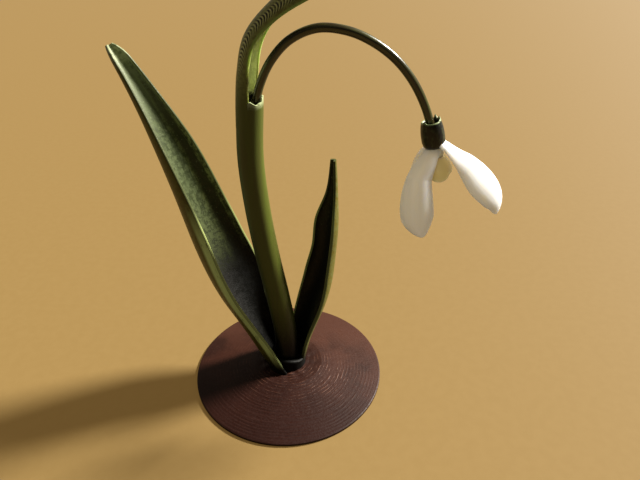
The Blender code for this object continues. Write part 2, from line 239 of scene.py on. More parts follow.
def channel(centre, opening, side, radius, half_angle, wall, back=None, columns=48, rim=6):
    """Section loops of a channel, and marks of where each point lies on it.

    A point at angle a of the middle arc is the centre plus the radius times (sine a of side
    minus cosine a of opening). The outer arc lies half the wall further out and the inner arc
    half the wall further in. Each rim is half a circle of half the wall about the end of the
    middle arc. The half towards minus side may have its own radius and half-angle, in back;
    it meets the other half at the keel, in the same direction.
    """
    half = (wall / 2)[:, None, None]
    sweep = np.linspace(-1.0, 1.0, columns)
    way_round = (np.arange(rim) + 0.5) / rim
    back_radius, back_angle = back or (radius, half_angle)

    def arc(share):
        """Points at shares of the half-angle, with the directions out of and along the arc."""
        behind = share[None, :] < 0
        angle = (share * np.where(behind, back_angle[:, None], half_angle[:, None]))[..., None]
        bend = np.where(behind, back_radius[:, None], radius[:, None])[..., None]
        out = np.sin(angle) * side[:, None, :] - np.cos(angle) * opening[:, None, :]
        on = np.cos(angle) * side[:, None, :] + np.sin(angle) * opening[:, None, :]
        shifted = centre[:, None, :] + (bend - radius[:, None, None]) * opening[:, None, :]
        return shifted + bend * out, out, on

    middle, out, _ = arc(sweep)
    outer = middle + half * out
    inner = (middle - half * out)[:, ::-1]
    rims = []
    for end in (1.0, -1.0):
        middle, out, on = arc(np.array([end]))
        cosine = end * np.cos(way_round * math.pi)[None, :, None]
        sine = end * np.sin(way_round * math.pi)[None, :, None]
        rims.append(middle + half * (cosine * out + sine * on))
    rings = np.concatenate([outer, rims[0], inner, rims[1]], axis=1)
    across = np.concatenate([sweep, np.ones(rim), sweep[::-1], -np.ones(rim)])
    inside = np.concatenate([np.zeros(columns), way_round, np.ones(columns), 1 - way_round])
    shift = rim // 2
    marks = {"across": np.roll(across, shift)[None, :], "inside": np.roll(inside, shift)[None, :]}
    return np.roll(rings, shift, 1), marks


def loop_mesh(name, rings, marks=None, caps=False):
    """A closed mesh of rings of points: neighbours on a ring and between rings make quads.

    With caps, a ring's first point pairs with its last, its second with the one before
    last and so on, and the pairs make the quads that close both ends. Without caps the
    first and last rings have no size, and merge into poles.
    """
    rows, columns = rings.shape[:2]
    index = np.arange(rows * columns).reshape(rows, columns)
    after = np.roll(index, -1, axis=1)
    quads = np.stack([index[:-1], after[:-1], after[1:], index[1:]], -1).reshape(-1, 4)
    if caps:
        k = np.arange(columns // 2 - 1)
        lid = np.stack([k, k + 1, columns - 2 - k, columns - 1 - k], -1)
        quads = np.concatenate([quads, lid, lid[:, ::-1] + (rows - 1) * columns])
    mesh = bpy.data.meshes.new(name)
    mesh.from_pydata((rings.reshape(-1, 3) * MM).tolist(), [], quads.tolist())
    for mark, values in (marks or {}).items():
        layer = mesh.attributes.new(mark, "FLOAT", "POINT")
        values = np.broadcast_to(values, (rows, columns)).astype(np.float32)
        layer.data.foreach_set("value", values.ravel())
    work = bmesh.new()
    work.from_mesh(mesh)
    bmesh.ops.remove_doubles(work, verts=work.verts, dist=MERGE_WITHIN * MM)
    bmesh.ops.dissolve_degenerate(work, dist=LEAST_EDGE * MM, edges=work.edges)
    bmesh.ops.recalc_face_normals(work, faces=work.faces)
    work.to_mesh(mesh)
    work.free()
    return mesh


def add_object(name, data):
    """A new object of the scene that holds the data."""
    obj = bpy.data.objects.new(name, data)
    bpy.context.scene.collection.objects.link(obj)
    return obj


def piece(name, mesh, finish, slot, *nodes, sharp=50.0):
    """Puts a mesh in the scene as a piece of the ornament that stands for the CAD nodes."""
    mesh.shade_smooth()
    mesh.set_sharp_from_angle(angle=math.radians(sharp))
    mesh.materials.append(finish)
    obj = add_object(name, mesh)
    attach(obj, BODY)
    if nodes:
        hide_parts(*nodes)


def turned(profile, angles, grow=None):
    """Rings of a turned piece: each profile point (radius, height) goes round the Z axis.

    grow(radius, height, angle) gives the change of radius and height at each point.
    """
    radius = profile[:, 0][:, None] + 0 * angles[None, :]
    height = profile[:, 1][:, None] + 0 * angles[None, :]
    if grow is not None:
        more, lift = grow(radius, height, angles[None, :] + 0 * radius)
        radius = radius + more
        height = height + lift
    return np.stack([radius * np.cos(angles), radius * np.sin(angles), height], -1)


def round_angles(count):
    """Evenly spaced angles once round: a whole turn times the number over the count."""
    return np.arange(count) / count * 2 * math.pi


def dense(profile, step):
    """Adds points along a profile's straight stretches, evenly, no further apart than step."""
    points = [profile[0]]
    for start, end in zip(np.array(profile[:-1]), np.array(profile[1:])):
        count = max(1, math.ceil(math.dist(start, end) / step))
        share = np.arange(1, count + 1)[:, None] / count
        points.extend(start + (end - start) * share)
    return np.array(points)


def torn_lift(angle, tears):
    """Lift of a torn rim at an angle in degrees: a sum of bell curves, one for each tear."""
    return sum(height * bell(angle, middle, width) for height, middle, width in tears)


def path_normals(path):
    """Directions square to a path in the XZ plane: X is its unit slope's Z, and Z is minus its X."""
    along = np.gradient(path, axis=0)
    along /= np.linalg.norm(along, axis=1)[:, None]
    return np.stack([along[:, 2], 0 * along[:, 0], -along[:, 0]], -1)


def tube(path, radius, count=48):
    """Rings about a path in the XZ plane: cosine along Y and sine along the path's normal.

    The end rings have no radius, so they close the ends.
    """
    normal = path_normals(path)
    path = np.concatenate([path[:1], path, path[-1:]])
    normal = np.concatenate([normal[:1], normal, normal[-1:]])
    radius = np.concatenate([[0.0], radius, [0.0]])
    angle = round_angles(count)
    cross = np.array([0.0, 1.0, 0.0])
    section = np.cos(angle)[None, :, None] * cross + np.sin(angle)[None, :, None] * normal[:, None, :]
    return path[:, None, :] + radius[:, None, None] * section


# Node trees

class Finish:
    """A printed plastic's node tree. A socket or a plain value goes into each input."""

    def __init__(self, name, roughness, specular):
        self.material = bpy.data.materials.new(name)
        self.material.use_nodes = True
        self.tree = self.material.node_tree
        self.shader = self.tree.nodes["Principled BSDF"]
        self.set(self.shader, "Roughness", roughness)
        self.set(self.shader, "Specular IOR Level", specular)

    def set(self, node, key, value):
        """Links a socket to a node's input, or gives the input a value."""
        socket = node.inputs[key]
        if isinstance(value, bpy.types.NodeSocket):
            self.tree.links.new(value, socket)
        elif socket.type == "RGBA" and len(value) == 3:
            socket.default_value = (*value, 1.0)
        else:
            socket.default_value = value

    def node(self, kind, out=0, props=None, **inputs):
        """Output of a new node. An input goes by its name, or by its number after a _."""
        node = self.tree.nodes.new(kind)
        for key, value in (props or {}).items():
            setattr(node, key, value)
        for key, value in inputs.items():
            self.set(node, int(key[1:]) if key[1:].isdigit() else key, value)
        return node.outputs[out]

    def place(self, stretch=(1.0, 1.0, 1.0), turned_by=(0.0, 0.0, 0.0)):
        """Place on the object, stretched, and turned by degrees."""
        coordinates = self.node("ShaderNodeTexCoord", "Object")
        angles = tuple(math.radians(a) for a in turned_by)
        return self.node("ShaderNodeMapping", Vector=coordinates, Scale=stretch, Rotation=angles)

    def axis(self, number):
        """X, Y or Z of the place on the object, for 0, 1 or 2."""
        return self.node("ShaderNodeSeparateXYZ", number, Vector=self.place())

    def mark(self, name):
        """Values that the mesh carries under this name."""
        return self.node("ShaderNodeAttribute", "Fac", {"attribute_name": name})

    def math(self, operation, a, b=0.0, c=0.0):
        """One step of arithmetic on up to three values."""
        return self.node("ShaderNodeMath", 0, {"operation": operation}, _0=a, _1=b, _2=c)

    def product(self, first, *others):
        """The values multiplied together."""
        for other in others:
            first = self.math("MULTIPLY", first, other)
        return first

    def wave(self, value, period):
        """Sine that goes once round in each period of the value."""
        return self.math("SINE", self.product(value, 2 * math.pi / period))

    def vector(self, x, y, z=0.0):
        """A place made of three values."""
        return self.node("ShaderNodeCombineXYZ", X=x, Y=y, Z=z)

    def noise(self, place, scale, detail=3.0, rough=0.55, distortion=0.0):
        """Cloudy noise from 0 to 1, of about scale patches in each unit of the place."""
        return self.node("ShaderNodeTexNoise", "Fac", Vector=place, Scale=scale, Detail=detail,
                         Roughness=rough, Distortion=distortion)

    def band(self, value, low, high, to_low=0.0, to_high=1.0):
        """Maps value from low..high to to_low..to_high, smoothly and clamped."""
        return self.node("ShaderNodeMapRange", 0, {"interpolation_type": "SMOOTHSTEP"},
                         Value=value, _1=low, _2=high, _3=to_low, _4=to_high)

    def blend(self, factor, a, b):
        """Colour a where the factor is 0 and colour b where it is 1."""
        return self.node("ShaderNodeMix", 2, {"data_type": "RGBA"}, _0=factor, _6=a, _7=b)

    def layered(self, colour, *layers):
        """The first colour with the others laid over it in order, each by its share."""
        for share, other in layers:
            colour = self.blend(share, colour, other)
        return colour

    def bump(self, height, depth_mm):
        """Shading normal of a relief of this height and depth."""
        return self.node("ShaderNodeBump", Height=height, Distance=depth_mm * MM, Strength=1.0)

    def glow(self, weight, tint, reach_mm):
        """Lets light wander through the plastic, by up to reach_mm in each colour's share."""
        self.set(self.shader, "Subsurface Weight", weight)
        self.set(self.shader, "Subsurface Radius", tint)
        self.set(self.shader, "Subsurface Scale", reach_mm * MM)

    def done(self, colour, normal=None, roughness=None):
        """The material, with its shader's last inputs set."""
        self.set(self.shader, "Base Color", colour)
        if normal is not None:
            self.set(self.shader, "Normal", normal)
        if roughness is not None:
            self.set(self.shader, "Roughness", roughness)
        return self.material


def soil_finish(settings):
    """Red-brown print: browns mixed by noises, and printed rings that come and go.

    The rings are sines of the distance from the middle, which a noise makes wander. Their
    pale noses show where another noise is high, most of all near the crown and in front;
    they are partly scuffs and partly painted highlights of the rings catching the light.
    Painted light makes the brown lighter to the back right, and painted shade makes it
    deeper to the front left and darker round the foot.
    """
    finish = Finish("soil_brown_print", 0.45, 0.14)
    place = finish.place()
    patches = finish.noise(place, 0.12 * PER_MM)
    grain = finish.noise(place, 2.2 * PER_MM, 4.0, 0.6)
    broken = finish.noise(place, 0.45 * PER_MM, 4.0, 0.7)
    level = finish.place((1.0, 1.0, 0.0))
    reach = finish.node("ShaderNodeVectorMath", "Value", {"operation": "LENGTH"}, _0=level)
    depth = finish.axis(1)
    wander = finish.math("MULTIPLY_ADD", finish.noise(place, 0.3 * PER_MM, 2.0), 0.7 * MM, reach)
    rings = finish.wave(wander, RING_SPACING * MM)
    lines = finish.wave(wander, LINE_SPACING * MM)
    # The noses' pale colour is partly scuffs and partly painted highlights where the printed rings catch
    # the light; their relief is real.
    noses = finish.product(finish.band(rings, 0.35, 0.95), finish.band(broken, 0.42, 0.66),
                           finish.band(reach, 23.0 * MM, 9.0 * MM, 0.2, 1.0),
                           finish.band(depth, 4.0 * MM, -9.0 * MM, 0.2, 1.0))
    # Painted light and shade: a slope across the base by position, lighter to the back right and darker to
    # the front left.
    painted_light_slope = finish.math("MULTIPLY_ADD", finish.axis(0), 0.35, finish.product(depth, 1.3))
    painted_light_slope = finish.math("MULTIPLY_ADD", finish.math("SUBTRACT", patches, 0.5), 20.0 * MM, painted_light_slope)
    brown = finish.layered(
        settings.dark,
        (finish.band(patches, 0.38, 0.62), settings.colour),
        (finish.band(grain, 0.45, 0.8, 0.0, 0.35), settings.light),
        # Painted shade: the brown turns dark round the foot.
        (finish.band(reach, 13.0 * MM, 6.5 * MM, 0.0, 0.8), settings.dark),
        # Scuffs and painted highlights on the ring noses.
        (finish.product(noses, 0.7), settings.scuff_and_glint),
        # Painted light: lighter brown to the back right.
        (finish.band(painted_light_slope, 0.0, 22.0 * MM, 0.0, 0.7), settings.light),
        # Painted shade: deeper brown to the front left.
        (finish.band(painted_light_slope, 4.0 * MM, -20.0 * MM, 0.0, 0.85), settings.front_left_shade))
    height = finish.math("MULTIPLY_ADD", lines, 0.12, grain)
    height = finish.math("MULTIPLY_ADD", noses, 2.4, height)
    return finish.done(brown, finish.bump(height, 0.03), finish.band(grain, 0.3, 0.7, 0.4, 0.6))


class LeafFinish(Finish):
    """A leaf print's node tree, with the marks and noises that its sides share.

    Across runs from -1 at the back margin to 1 at the front one, and inside from 0 on the
    outer side to 1 in the hollow. Along is the way from the foot in lengths of 50 mm.
    """

    def __init__(self, name, settings):
        super().__init__(name, 0.42, 0.18)
        self.settings = settings
        self.across = self.mark("across")
        self.along = self.mark("along")
        self.inside = self.mark("inside")
        stretched = self.vector(self.product(self.across, 5.0), self.product(self.along, 5.0),
                                self.inside)
        self.streaks = self.noise(stretched, 2.4, 6.0, 0.75, 0.4)
        self.mottle = self.noise(self.place(), 0.9 * PER_MM, 6.0, 0.75, 0.3)

    def hollow(self, inner, pale_band, stripe):
        """Inner green, lightened for its shaded back edge, a band over the middle and front, and between
        them a stripe of painted shade, then mottle, specks and painted shade at the foot.
        """
        settings = self.settings
        wander = self.math("MULTIPLY_ADD", self.math("SUBTRACT", self.streaks, 0.5), 0.4, self.across)
        pale = self.product(self.band(wander, -0.62, -0.4), self.band(self.along, 0.5, 1.1, 0.55, 1.0))
        # Painted shade: the dark stripe beside the back margin, where the back wall shades the hollow.
        dark = self.product(self.band(wander, -0.95, -0.84), self.band(wander, -0.45, -0.65))
        specks = self.noise(self.place(), 2.2 * PER_MM, 2.0, 0.6)
        tip = self.product(self.band(self.along, 1.25, 1.7), self.band(self.mottle, 0.4, 0.55, 0.35, 1.0))
        return self.layered(
            inner,
            (pale, pale_band),
            (dark, stripe),
            (self.band(self.mottle, 0.45, 0.57, 0.0, 0.75), settings.inner_dark),
            (self.band(self.streaks, 0.48, 0.66, 0.0, 0.7), settings.inner_dark),
            (self.band(specks, 0.62, 0.72, 0.0, 0.6), settings.speck),
            (tip, settings.tip),
            # Painted shade: the hollow turns near black towards the foot.
            (self.band(self.along, 1.1, 0.5), settings.foot))

    def outside(self, olive):
        """Mottled olive, with a painted highlight as a pale strip along the low part of the front margin.
        """
        # Painted highlight along the low front margin.
        strip = self.product(self.band(self.across, 0.8, 0.9), self.band(self.along, 1.05, 0.75),
                             self.band(self.streaks, 0.3, 0.45))
        return self.layered(self.settings.outer_dark, (self.band(self.mottle, 0.35, 0.65), olive),
                            (strip, self.settings.strip))

    def margins(self, colour):
        """Margins with painted shade above and painted light below, a pale end and painted shade at the
        foot.
        """
        settings = self.settings
        # Painted shade on the upper margins; below, painted light on the low margins.
        edge = self.product(self.band(self.inside, 0.02, 0.2), self.band(self.inside, 0.99, 0.9))
        low = self.product(edge, self.band(self.along, 1.0, 0.8),
                           self.band(self.across, 0.0, 0.5, 0.35, 1.0))
        # The long leaf's last few millimetres turn pale in patches.
        worn = self.product(self.band(self.along, 1.6, 1.69), self.band(self.mottle, 0.4, 0.52, 0.2, 0.9))
        # Painted shade: everything turns near black at the very foot.
        foot = self.band(self.along, 0.14, 0.02)
        return self.layered(colour, (edge, settings.margin_dark), (low, settings.margin),
                            (worn, settings.tip_end), (foot, settings.foot))


def leaf_finish(name, settings, olive, *hollow_colours):
    """Leaf print: an outer side and a hollow side, which meet within the rim, and margins."""
    finish = LeafFinish(name, settings)
    turned_in = finish.band(finish.inside, 0.5, 0.95)
    colour = finish.blend(turned_in, finish.outside(olive), finish.hollow(*hollow_colours))
    relief = finish.math("ADD", finish.noise(finish.place(), 3.5 * PER_MM, 2.0), finish.mottle)
    roughness = finish.band(finish.mottle, 0.3, 0.7, 0.32, 0.55)
    return finish.done(finish.margins(colour), finish.bump(relief, 0.05), roughness)


def stem_finish(settings):
    """Stem print: green with long streaks, fine layers, a torn pale lip, and painted shade inside the mouth
    and at the foot.
    """
    finish = Finish("stem_green_print", 0.42, 0.35)
    streaks = finish.noise(finish.place((1.0, 1.0, 0.1)), 0.7 * PER_MM, 3.0, 0.5)
    grain = finish.noise(finish.place(), 1.6 * PER_MM, 4.0, 0.6)
    height = finish.axis(2)
    torn = finish.product(finish.mark("lip"), finish.band(grain, 0.3, 0.45))
    colour = finish.layered(
        settings.colour,
        (finish.band(streaks, 0.4, 0.7, 0.0, 0.5), settings.dark),
        # Painted shade: the stem turns near black towards its foot.
        (finish.band(height, 26.0 * MM, 9.0 * MM), settings.foot),
        (torn, settings.lip),
        # Painted shade inside the mouth.
        (finish.mark("inside"), settings.groove_shade))
    relief = finish.math("MULTIPLY_ADD", finish.wave(height, settings.layer), 0.25, grain)
    return finish.done(colour, finish.bump(relief, 0.025))


def hood_finish(settings):
    """Hood print: layer lines as a chain of small crescents outside, with painted highlights on the steps
    and painted shade between them, painted highlights along the edges, and a pale lining of painted light,
    for light shining through the thin wall.

    A step is a sine of the way along, bowed by the square of the way across. The chain is
    those steps within a row near the front edge. Low down, the colour turns to the stem's,
    and the lining's to painted shade by the mouth.
    """
    finish = Finish("hood_green_print", 0.42, 0.35)
    across = finish.mark("across")
    along = finish.mark("along")
    inside = finish.mark("inside")
    height = finish.axis(2)
    finish.glow(finish.band(inside, 0.0, 0.1, 0.0, 0.8), (1.0, 1.0, 0.9), 1.6)
    grain = finish.noise(finish.place(), 1.6 * PER_MM, 4.0, 0.6)
    offset = finish.math("SUBTRACT", across, 0.6)
    steps = finish.wave(finish.math("ADD", along, finish.product(offset, offset, 0.35)), 1 / HOOD_STEPS)
    row = finish.product(finish.band(across, 0.42, 0.55), finish.band(across, 0.88, 0.76),
                         finish.band(along, 0.25, 0.4), finish.band(grain, 0.35, 0.55, 0.25, 1.0))
    # Painted highlights along the hood's edges, high up.
    edge = finish.math("MAXIMUM", finish.band(inside, 0.05, 0.3), finish.band(across, 0.94, 0.985))
    edge = finish.product(edge, finish.band(height, 78.0 * MM, 84.0 * MM))
    patches = finish.band(grain, 0.4, 0.65)
    # Painted light: the lining's pale colour stands for light shining through the thin wall, on top of the
    # real glow.
    lining = finish.layered(settings.lining, (patches, settings.lining_light),
                            # Painted shade: the lining darkens low down, by the mouth.
                            (finish.band(height, 76.2 * MM, 75.0 * MM), settings.groove_shade))
    # Partly painted light: the hood's green is lighter than the stem's, to lift its shaded outside.
    colour = finish.layered(
        settings.hood,
        (patches, settings.hood_dark),
        # Painted highlights on the printed steps' noses.
        (finish.product(row, finish.band(steps, 0.0, -0.9)), settings.step),
        # Painted shade between the printed steps.
        (finish.product(row, finish.band(steps, -0.3, 0.7)), settings.groove_shade),
        (edge, settings.edge),
        (finish.band(height, 84.0 * MM, 73.0 * MM), settings.colour),
        (finish.band(inside, 0.85, 0.98), lining))
    relief = finish.math("ADD", finish.product(steps, row), grain)
    return finish.done(colour, finish.bump(relief, 0.05))


def stalk_finish(settings):
    """Glossy filament: dark green and brown streaks that run along it."""
    finish = Finish("stalk_green_filament", 0.25, 0.5)
    stretched = finish.vector(finish.mark("around"), finish.product(finish.mark("along"), 4.0))
    streaks = finish.noise(stretched, 2.0)
    colour = finish.blend(finish.band(streaks, 0.35, 0.65), settings.stalk, settings.stalk_dark)
    grain = finish.noise(finish.place(), 1.5 * PER_MM)
    return finish.done(colour, finish.bump(grain, 0.02))


def collar_finish(settings):
    """Near black in two tones, painted shade on the collar, mixed by a noise that also gives its relief."""
    finish = Finish("collar_dark_print", 0.55, 0.08)
    grain = finish.noise(finish.place(), 1.4 * PER_MM, 4.0)
    # Painted shade: both tones are near black.
    colour = finish.blend(finish.band(grain, 0.4, 0.7), settings.foot, settings.foot_light)
    return finish.done(colour, finish.bump(grain, 0.04))


def ovary_finish(settings):
    """Ovary print: dark, with mottled streaks down it and a pale torn lip."""
    finish = Finish("ovary_green_print", 0.36, 0.3)
    along_it = finish.place((1.0, 1.0, 0.5), (0.0, FLOWER_TILT, 0.0))
    streaks = finish.noise(along_it, 1.6 * PER_MM, 4.0, 0.6)
    torn = finish.product(finish.mark("lip"), finish.band(streaks, 0.28, 0.42))
    colour = finish.layered(
        settings.ovary_dark,
        (finish.band(streaks, 0.45, 0.68, 0.0, 0.8), settings.ovary),
        (torn, settings.ovary_lip))
    return finish.done(colour, finish.bump(streaks, 0.06))


def petal_finish(name, colour, shade, subsurface):
    """Smooth print that lets some light through, with faint long veins."""
    finish = Finish(name, 0.32, 0.45)
    finish.glow(subsurface, (1.0, 0.88, 0.7), 3.0)
    stretched = finish.vector(finish.product(finish.mark("across"), 6.0), finish.mark("along"))
    veins = finish.noise(stretched, 1.5, 2.0)
    tone = finish.blend(finish.band(veins, 0.4, 0.75, 0.0, 0.4), colour, shade)
    grain = finish.noise(finish.place(), 1.2 * PER_MM)
    relief = finish.math("MULTIPLY_ADD", veins, 0.6, finish.product(grain, 0.3))
    return finish.done(tone, finish.bump(relief, 0.03))


# Pieces

def leaf_rings(shape, wall, rows=150):
    """A leaf: an arc that stands upright at the foot and leans outward by its lean above it.

    The arc's twist grows with the square of the way along, and the wall thins with its cube.
    A flatter back half has more radius and less angle, by a smooth step from the foot.
    """
    out, side, up = radial_frame(shape["azimuth"])
    t = rows_to_tip(rows, shape["tip"])
    lean = np.radians(smooth(shape["lean"], t))
    reach, height = walk(lean, t, shape["length"], shape["foot_radius"], SEAT_Z)
    lean = lean * ease(t / LEAN_STARTS_BY)
    radius = smooth(shape["radius"], t) * tip_round(t, shape["tip"])
    keel = reach[:, None] * out + height[:, None] * up
    opening = np.sin(lean)[:, None] * up - np.cos(lean)[:, None] * out
    opening, across = turn(opening, side[None, :], np.radians(shape["twist"]) * t * t)
    half_angle = np.radians(smooth(shape["half_angle"], t))
    thick = wall * (1 - 0.35 * t ** 3)
    centre = keel + radius[:, None] * opening
    back = None
    if "back_flatter" in shape:
        grown = ease(t / FLAT_BY)
        flatter = radius * (1 + shape["back_flatter"] * grown ** 1.8)
        back = (flatter, half_angle + (math.radians(shape["back_angle"]) - half_angle) * grown)
    rings, marks = channel(centre, opening, across, radius, half_angle, thick, back)
    foot = rings[:1].copy()
    foot[..., 2] = FOOT_Z
    marks["along"] = np.concatenate([[0.0], t])[:, None] * shape["length"] / MARK_LENGTH
    return np.concatenate([foot, rings]), marks


def petal_rings(shape, wall, rows=110):
    """An outer petal: an arc whose keel bends down and in from its claw by its lean.

    The claw runs straight back from its start, by a negative parameter, into the ovary.
    The wall thins towards the tip with the radius.
    """
    out, side, up = radial_frame(shape["azimuth"])
    t = rows_to_tip(rows, shape["tip"])
    claw = np.linspace(-CLAW_SUNK / shape["length"], 0.0, CLAW_ROWS, endpoint=False)
    t = np.concatenate([claw, t])
    lean = np.radians(smooth(shape["lean"], t))
    away, rise = shape["start"]
    reach, height = walk(lean, t, shape["length"], away - CLAW_SUNK * np.sin(lean[0]),
                         rise - CLAW_SUNK * np.cos(lean[0]))
    radius = smooth(shape["radius"], t) * tip_round(t, shape["tip"])
    keel = reach[:, None] * out + height[:, None] * up
    opening = np.cos(lean)[:, None] * out - np.sin(lean)[:, None] * up
    twist = np.radians(shape["twist"]) * np.clip(t / TWIST_ENDS_AT, 0.0, 1.0)
    opening, across = turn(opening, side[None, :], twist)
    half_angle = np.radians(smooth(shape["half_angle"], t))
    centre = keel + radius[:, None] * opening
    thick = wall * (0.45 + 0.55 * tip_round(t, shape["tip"]))
    rings, marks = channel(centre, opening, across, radius, half_angle, thick)
    marks["along"] = t[:, None]
    return rings, marks


def hang(mesh):
    """Moves a flower mesh from its own upright frame to the end of the stalk."""
    tilt = Matrix.Rotation(math.radians(-FLOWER_TILT), 4, "Y")
    mesh.transform(Matrix.Translation(Vector(FLOWER_AT) * MM) @ tilt)
    return mesh


def base_profile():
    """Half a section, from the top's middle out and down: the crown, a straight cone and the rim."""
    cone = [(CROWN_RADIUS, CROWN_HEIGHT), (BASE_RADIUS - RIM_WIDTH, RIM_HEIGHT)]
    top = dense([(0.0, CROWN_HEIGHT), (CROWN_RADIUS - 0.2, CROWN_HEIGHT)], 0.5)
    rim = [(BASE_RADIUS - 0.2, RIM_HEIGHT - 0.03), (BASE_RADIUS - 0.05, RIM_HEIGHT - 0.12),
           (BASE_RADIUS, RIM_HEIGHT - 0.3), (BASE_RADIUS, 0.15), (BASE_RADIUS - 0.15, 0.0), (0.0, 0.0)]
    return np.concatenate([top, dense(cone, 0.1), dense(rim, 0.7)])


def make_base(settings):
    """The base: its profile turned round, with lumps and terraces on top."""
    layers = round((CROWN_HEIGHT - RIM_HEIGHT) / (settings.layer / MM))
    relief = settings.terrace / MM
    cone_width = BASE_RADIUS - RIM_WIDTH - CROWN_RADIUS

    def soil(radius, height, angle):
        """Low lumps round the foot, two sine products, and terraces down the cone.

        A terrace's wave is the sine of the way across it, which is steep outside and nearly
        level inside. Sines of the angle and the way make the terraces uneven, a product of
        sines makes them patchy, and a bell curve of the angle makes them strongest in front.
        """
        near = np.clip((CROWN_RADIUS - radius) / 2.5, 0.0, 1.0) * (height > 1.0)
        lumps = np.sin(5 * angle + 1.7 * radius) * np.sin(9 * angle - 2.3 * radius + 1.0)
        way = (radius - CROWN_RADIUS) / cone_width * layers
        on_cone = (way > 0) * (way < layers) * (height > 0.5)
        way = way + 0.35 * np.sin(3 * angle) + 0.4 * np.sin(0.9 * way)
        wave = np.sin(2 * math.pi * way + 0.5 * np.sin(2 * math.pi * way))
        patchy = 0.6 + 0.4 * np.sin(4 * angle + 0.9 * radius) * np.sin(7 * angle - 0.6 * radius)
        front = 0.1 + 0.9 * bell(angle, math.radians(TERRACES_FACE), 0.75)
        return 0 * radius, near * (0.12 * lumps - 0.05) + on_cone * front * patchy * relief * wave

    mesh = loop_mesh("base", turned(base_profile(), round_angles(288), soil))
    piece("base_print", mesh, soil_finish(settings), "soil_brown", "base", sharp=35.0)


def make_leaves(settings):
    """The long leaf, with its band and a stripe of painted shade, and the short leaf, whose hollow is
    painted shade.
    """
    wall = settings.wall / MM
    finish = leaf_finish("leaf_long_green_print", settings, settings.outer,
                         settings.inner, settings.band, settings.stripe)
    mesh = loop_mesh("leaf_long", *leaf_rings(LONG_LEAF, wall), caps=True)
    piece("leaf_long_print", mesh, finish, "leaf_green", "leaf_long")
    # The short leaf's hollow is painted shade: its greens are the near-black colours of the feet.
    finish = leaf_finish("leaf_short_green_print", settings, settings.outer_short,
                         settings.foot_light, settings.foot_light, settings.foot)
    mesh = loop_mesh("leaf_short", *leaf_rings(SHORT_LEAF, wall), caps=True)
    piece("leaf_short_print", mesh, finish, "leaf_green", "leaf_short")


def make_collar(settings):
    """The dark collar round the stem's foot: a tube's section turned round, with a dip."""
    profile = dense([(COLLAR_INNER, FOOT_Z), (COLLAR_OUTER, FOOT_Z), (COLLAR_OUTER, COLLAR_TOP - 0.3),
                     (COLLAR_OUTER - 0.3, COLLAR_TOP), (COLLAR_INNER + 0.2, COLLAR_TOP),
                     (COLLAR_INNER, COLLAR_TOP - 0.2), (COLLAR_INNER, FOOT_Z)], 0.4)

    def dip(radius, height, angle):
        """The rim falls by up to 0.8 mm towards the right front, by a bell curve of the angle."""
        top = np.clip((height - FOOT_Z) / (COLLAR_TOP - FOOT_Z), 0.0, 1.0)
        return 0 * radius, -0.8 * top * bell(angle, math.radians(325), 0.6)

    mesh = loop_mesh("leaf_collar", turned(profile, round_angles(96), dip))
    piece("leaf_collar", mesh, collar_finish(settings), "leaf_green")


def make_stem(settings):
    """The stem: level rings along its centre line, and its end turned in as the mouth."""
    t = np.linspace(0.0, 1.0, 120)
    height = STEM_START + (STEM_TOP - STEM_START) * t
    keep = height > FOOT_Z
    path = np.stack([smooth(STEM_X, t), 0 * t, height], -1)[keep]
    radius = smooth(STEM_RADIUS, t)[keep]
    mouth = np.array([[path[-1, 0], 0, z] for z in MOUTH_HEIGHTS])
    rings = level_rings(np.concatenate([path, mouth]), np.concatenate([radius, MOUTH_RADII]))
    lip = np.clip((rings[..., 2] - STEM_TOP + 0.7) / 0.2, 0.0, 1.0)
    within = np.zeros((len(rings), 1))
    within[-len(MOUTH_RADII):] = 1.0
    mesh = loop_mesh("stem", torn_mouth(rings), {"lip": lip, "inside": within})
    piece("stem_print", mesh, stem_finish(settings), "stem_green", "stem")


def make_hood(settings):
    """The gutter-shaped hood: a channel along its centre line, which opens down and forwards."""
    t = np.linspace(0.0, 1.0, 140)
    centre = np.stack([smooth(HOOD_X, t), 0 * t, smooth(HOOD_Z, t)], -1)
    below = path_normals(centre)
    front = np.broadcast_to(np.array([0.0, -1.0, 0.0]), below.shape)
    opening, side = turn(below, front, np.radians(smooth(HOOD_TURN, t)))
    rings, marks = channel(centre, opening, side, smooth(HOOD_RADIUS, t),
                           np.radians(smooth(HOOD_HALF_ANGLE, t)), settings.wall / MM + 0 * t)
    marks["along"] = t[:, None]
    piece("hood_print", loop_mesh("hood", rings, marks, caps=True), hood_finish(settings), "stem_green")


def level_rings(path, radius):
    """Rings that lie level, about a path's points: cosine along X and sine along Y."""
    angle = round_angles(96)
    path = np.concatenate([path[:1], path, path[-1:]])
    radius = np.concatenate([[0.0], radius, [0.0]])
    section = np.stack([np.cos(angle), np.sin(angle), 0 * angle], -1)
    return path[:, None, :] + radius[:, None, None] * section[None]


def torn_mouth(rings):
    """Lifts the mouth's rim by its tears, which fade down the stem by a square."""
    reach = 2.2
    near_top = np.clip((rings[..., 2] - STEM_TOP + reach) / reach, 0.0, 1.0) ** 2
    angle = np.degrees(round_angles(rings.shape[1]))[None, :]
    torn = rings.copy()
    torn[..., 2] += near_top * torn_lift(angle, MOUTH_TEARS)
    return torn


def make_stalk(settings):
    """The flower stalk: a round tube along its centre line."""
    t = np.linspace(0.0, 1.0, 240)
    path = np.stack([smooth(STALK_X, t), 0 * t, smooth(STALK_Z, t)], -1)
    rings = tube(path, settings.stalk_radius / MM + 0 * t)
    around = np.sin(round_angles(rings.shape[1]))[None, :]
    along = np.concatenate([[0.0], t, [1.0]])[:, None]
    mesh = loop_mesh("pedicel", rings, {"around": around, "along": along})
    piece("pedicel_filament", mesh, stalk_finish(settings), "stalk_green", "pedicel")


